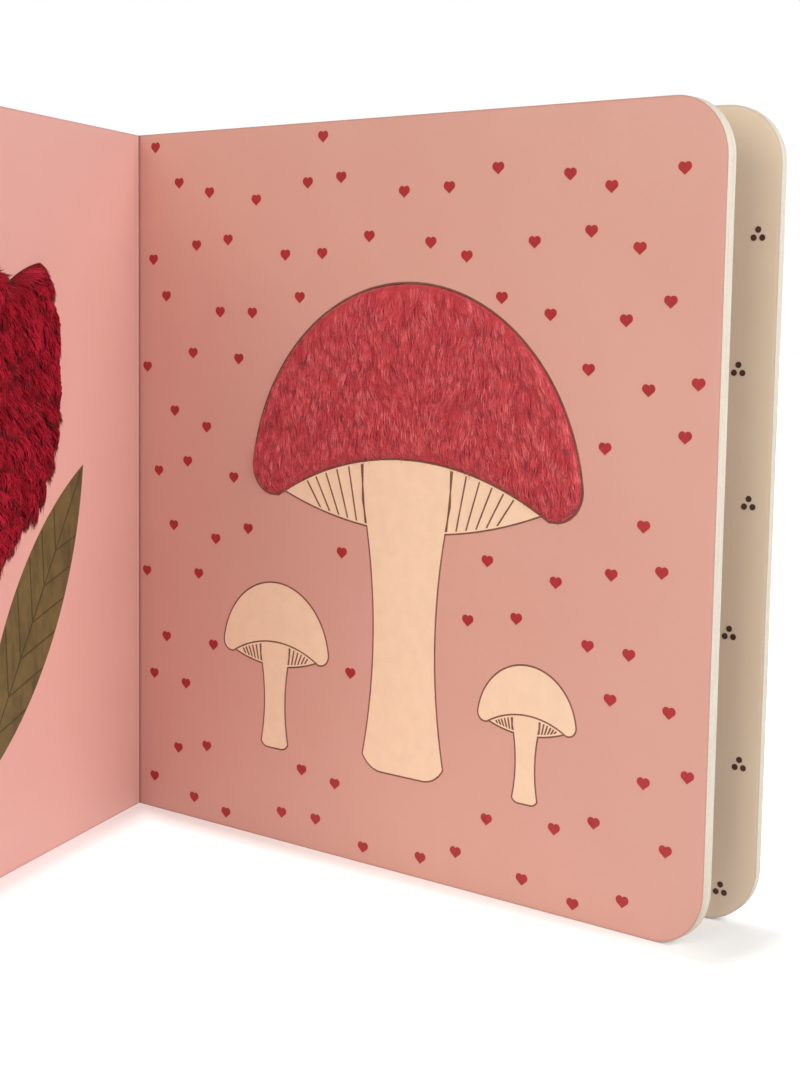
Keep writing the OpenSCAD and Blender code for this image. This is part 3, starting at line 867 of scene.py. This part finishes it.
class BOOK_OT_creases(bpy.types.Operator):
    """Run the cover stock on over the two creases, between the spine and each cover"""

    bl_idname = "book.creases"
    bl_label = "Creases"

    def execute(self, context):
        looks = context.scene.book_looks
        joints = {joint["child"]: joint for joint in frame["joints"]}
        front, back = joints["front_board"], joints["back_board"]
        material = crease_finish("crease_stock", tuple(looks.pink), looks)
        crease_strip("front_crease", Crease(front, back, FRONT_COVER), material)
        crease_strip("back_crease", Crease(back, front, BACK_COVER), material)
        return {"FINISHED"}


class BOOK_OT_print(bpy.types.Operator):
    """Ink the hearts, the toadstools, the tulip's leaves and the sprigs"""

    bl_idname = "book.print"
    bl_label = "Print"

    def execute(self, context):
        looks = context.scene.book_looks
        dark = tuple(looks.olive_dark)
        paint("hearts", ink_finish("heart_ink", tuple(looks.heart), looks))
        paint("toadstool_print", ink_finish("cream_ink", tuple(looks.cream), looks, patchy=0.03))
        paint("toadstool_lines", ink_finish("brown_ink", tuple(looks.brown), looks, patchy=0.25))
        paint("tulip_leaves", ink_finish("olive_ink", tuple(looks.olive), looks, 0.16, (0.5, 0.16), dark))
        paint("tulip_veins", ink_finish("dark_olive_ink", dark, looks, patchy=0.2))
        for node in ("leaf_back_sprigs", "lining_sprigs"):
            paint(node, ink_finish(node + "_ink", tuple(looks.sprig), looks, patchy=0.2))
        return {"FINISHED"}


class BOOK_OT_cap(bpy.types.Operator):
    """Lay the short raspberry plush in the toadstool's cap"""

    bl_idname = "book.cap_plush"
    bl_label = "Short Plush"

    def execute(self, context):
        mid = tuple(context.scene.book_looks.cap_colour)
        # The pile's painted root shade, its middle colour and its painted highlight.
        colours = (tinted(mid, 0.62, 0.4, 0.45), mid, tinted(mid, 1.25, 2.3, 2.0))
        looks = {"nap": 0.1, "swirl": 0.75, "scatter": 0.2, "seed": 31, "share": 0.5, "length": 5.2 * MM,
                 "width": 0.3 * MM, "lift": 0.45 * MM, "droop": 0.25, "spill": 0.15 * MM, "spill_more": 0.3 * MM,
                 "gather": 0.5, "spacing": 1.5 * MM, "strays": 0.014, "flare": 0.3, "clump": 0.35, "sheen": 0.25}
        plush_patch("cap", RIGHT, looks, colours, "short_plush")
        return {"FINISHED"}


class BOOK_OT_bloom(bpy.types.Operator):
    """Lay the long deep-red plush in the tulip's bloom"""

    bl_idname = "book.bloom_plush"
    bl_label = "Long Plush"

    def execute(self, context):
        mid = tuple(context.scene.book_looks.bloom_colour)
        # The pile's painted root shade, its middle colour and its painted highlight.
        colours = (tinted(mid, 0.45, 0.3, 0.4), mid, tinted(mid, 1.45, 3.4, 2.4))
        looks = {"nap": -0.55, "swirl": 0.5, "scatter": 0.26, "seed": 77, "share": 0.6, "length": 7.5 * MM,
                 "width": 0.46 * MM, "lift": 1.0 * MM, "droop": 0.4, "spill": 0.6 * MM, "spill_more": 4.5 * MM,
                 "gather": 0.66, "spacing": 2.5 * MM, "strays": 0.02, "flare": 0.6, "clump": 0.5, "sheen": 0.04}
        plush_patch("bloom", LEFT, looks, colours, "long_plush")
        return {"FINISHED"}


def plush_patch(name, leaf, looks, colours, slot):
    """A patch of pile cloth: its ground, and the pile in bands that stand one above the other."""
    node = f"{name}_plush"
    patch = Patch(node, leaf)
    material = plush_finish(slot, *colours, looks)
    rng = np.random.default_rng(looks["seed"])
    ground = pad_piece(f"{name}_ground", patch, looks["share"], looks["seed"], material, BODY)
    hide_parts(node)
    roots = patch.sow(rng, TUFTS)
    locks = lock_arrays(patch, rng, looks)
    order = np.argsort(roots[:, 1])
    for k, band in enumerate(np.array_split(order, BANDS)):
        pile_piece(f"{name}_pile_{k + 1}", patch, roots[band], locks, rng, looks, material, BODY)


def lock_arrays(patch, rng, looks):
    """The locks that tufts gather into: their roots, ways, lengths, lifts, shades and how far they may spill."""
    count = int(patch.area / looks["spacing"] ** 2)
    root = patch.scatter(rng, count)
    way = lay_of(root, looks) + rng.normal(0, looks["scatter"], (count, 2))
    way += looks["flare"] * patch.outwards(root, 2.5 * MM)
    return {
        "root": root,
        "way": way / np.linalg.norm(way, axis=1)[:, None],
        "length": looks["length"] * rng.uniform(0.75, 1.3, count),
        "lift": rng.uniform(0.35, 1.6, count),
        "shade": np.clip(0.5 + 0.35 * rng.normal(0, 1, count), 0, 1),
        "spill": looks["spill"] + looks["spill_more"] * rng.random(count) ** 2,
    }


class BOOK_OT_stage(bpy.types.Operator):
    """Make the floor, the soft lamps, the surroundings and the camera"""

    bl_idname = "book.stage"
    bl_label = "Stage"

    def execute(self, context):
        looks = context.scene.book_stage
        make_floor(looks)
        make_light(looks)
        make_camera(context, looks)
        context.scene.view_settings.view_transform = "Standard"
        return {"FINISHED"}


def seen_directly(tree):
    """1 for rays from the eye and for what gloss and glass show, 0 for the light on the object."""
    path = tree.nodes.new("ShaderNodeLightPath")
    first = tree.nodes.new("ShaderNodeMath")
    second = tree.nodes.new("ShaderNodeMath")
    first.operation = second.operation = "ADD"
    second.use_clamp = True
    tree.links.new(path.outputs["Is Camera Ray"], first.inputs[0])
    tree.links.new(path.outputs["Is Glossy Ray"], first.inputs[1])
    tree.links.new(first.outputs[0], second.inputs[0])
    tree.links.new(path.outputs["Is Transmission Ray"], second.inputs[1])
    return second.outputs[0]


def make_floor(looks):
    """A wide white floor that keeps the book's shadow near its pages, and shines white farther off."""
    recipe = Recipe("white_floor")
    white = recipe.node("ShaderNodeBsdfDiffuse", links={"Color": FLOOR_COLOUR})
    s, depth = page_axes(recipe, RIGHT, True)[:2]
    away = abs(depth - BAND_MIDDLE).step(*BAND_ACROSS) + s.step(*BAND_ALONG)
    seen = Wire(recipe, seen_directly(recipe.tree))
    glow = recipe.node(
        "ShaderNodeEmission", links={"Color": (1.0, 1.0, 1.0), "Strength": seen * (away + looks.floor_lift)}
    )
    both = recipe.node("ShaderNodeAddShader", links={0: white.outputs[0], 1: glow.outputs[0]})
    recipe.tree.links.new(both.outputs[0], recipe.output.inputs["Surface"])
    corners = np.array([[-1, -1, 0], [1, -1, 0], [1, 1, 0], [-1, 1, 0]]) * FLOOR_REACH
    mesh = bpy.data.meshes.new("floor")
    mesh.from_pydata(corners.tolist(), [], [[0, 1, 2, 3]])
    floor = bpy.data.objects.new("floor", mesh)
    floor.data.materials.append(recipe.material)
    bpy.context.scene.collection.objects.link(floor)


def make_light(looks):
    """Even light from all round, and four large soft lamps."""
    world = bpy.data.worlds.new("studio")
    bpy.context.scene.world = world
    world.use_nodes = True
    tree = world.node_tree
    tree.nodes.clear()
    path = seen_directly(tree)
    either = tree.nodes.new("ShaderNodeMixShader")
    out = tree.nodes.new("ShaderNodeOutputWorld")
    tree.links.new(path, either.inputs[0])
    for socket, strength in zip(either.inputs[1:], (looks.fill, 1)):
        shade = tree.nodes.new("ShaderNodeBackground")
        shade.inputs["Color"].default_value = (1, 1, 1, 1)
        shade.inputs["Strength"].default_value = strength
        tree.links.new(shade.outputs[0], socket)
    tree.links.new(either.outputs[0], out.inputs["Surface"])
    for name, at, colour in LAMPS:
        soft_lamp(name, at, getattr(looks, name), colour)


def soft_lamp(name, at, power, colour):
    """A square area lamp that faces the book's middle and stays out of sight."""
    data = bpy.data.lights.new(name, "AREA")
    data.shape, data.size, data.energy, data.color = "SQUARE", LAMP_SIZE, power, colour
    lamp = bpy.data.objects.new(name, data)
    lamp.location = at
    lamp.rotation_euler = (Vector(BOOK_MIDDLE) - Vector(at)).to_track_quat("-Z", "Y").to_euler()
    lamp.visible_camera = False
    bpy.context.scene.collection.objects.link(lamp)


def make_camera(context, looks):
    """The camera. Its columns are right, up and back."""
    data = bpy.data.cameras.new("camera")
    data.lens, data.sensor_width, data.sensor_fit = looks.lens, 36, "AUTO"
    data.clip_start, data.clip_end = 0.01, 50
    camera = bpy.data.objects.new("camera", data)
    columns = [Vector(EYE_RIGHT), -Vector(EYE_DOWN), -Vector(EYE_FORWARD)]
    turn = Matrix(columns).transposed()
    camera.matrix_world = Matrix.Translation(EYE) @ turn.to_4x4()
    context.scene.collection.objects.link(camera)
    context.scene.camera = camera


class BOOK_PT_panel(bpy.types.Panel):
    """The book's finishes and stage, in the order in which they are made"""

    bl_idname = "BOOK_PT_panel"
    bl_label = "Touch-and-Feel Book"
    bl_space_type = "VIEW_3D"
    bl_region_type = "UI"
    bl_category = "Book"

    def draw(self, context):
        layout = self.layout
        for group in (context.scene.book_looks, context.scene.book_stage):
            for name in group.__annotations__:
                layout.prop(group, name)
        for operator in OPERATORS:
            layout.operator(operator.bl_idname)


OPERATORS = (BOOK_OT_paper, BOOK_OT_creases, BOOK_OT_print, BOOK_OT_cap, BOOK_OT_bloom, BOOK_OT_stage)
CLASSES = (BookLooks, StageLooks, *OPERATORS, BOOK_PT_panel)


def register():
    for each in CLASSES:
        bpy.utils.register_class(each)
    bpy.types.Scene.book_looks = bpy.props.PointerProperty(type=BookLooks)
    bpy.types.Scene.book_stage = bpy.props.PointerProperty(type=StageLooks)


def unregister():
    del bpy.types.Scene.book_stage
    del bpy.types.Scene.book_looks
    for each in reversed(CLASSES):
        bpy.utils.unregister_class(each)


def main():
    """Makes the looks in order."""
    register()
    bpy.ops.book.paper()
    bpy.ops.book.creases()
    bpy.ops.book.print()
    bpy.ops.book.cap_plush()
    bpy.ops.book.bloom_plush()
    bpy.ops.book.stage()


if __name__ == "__main__":
    main()
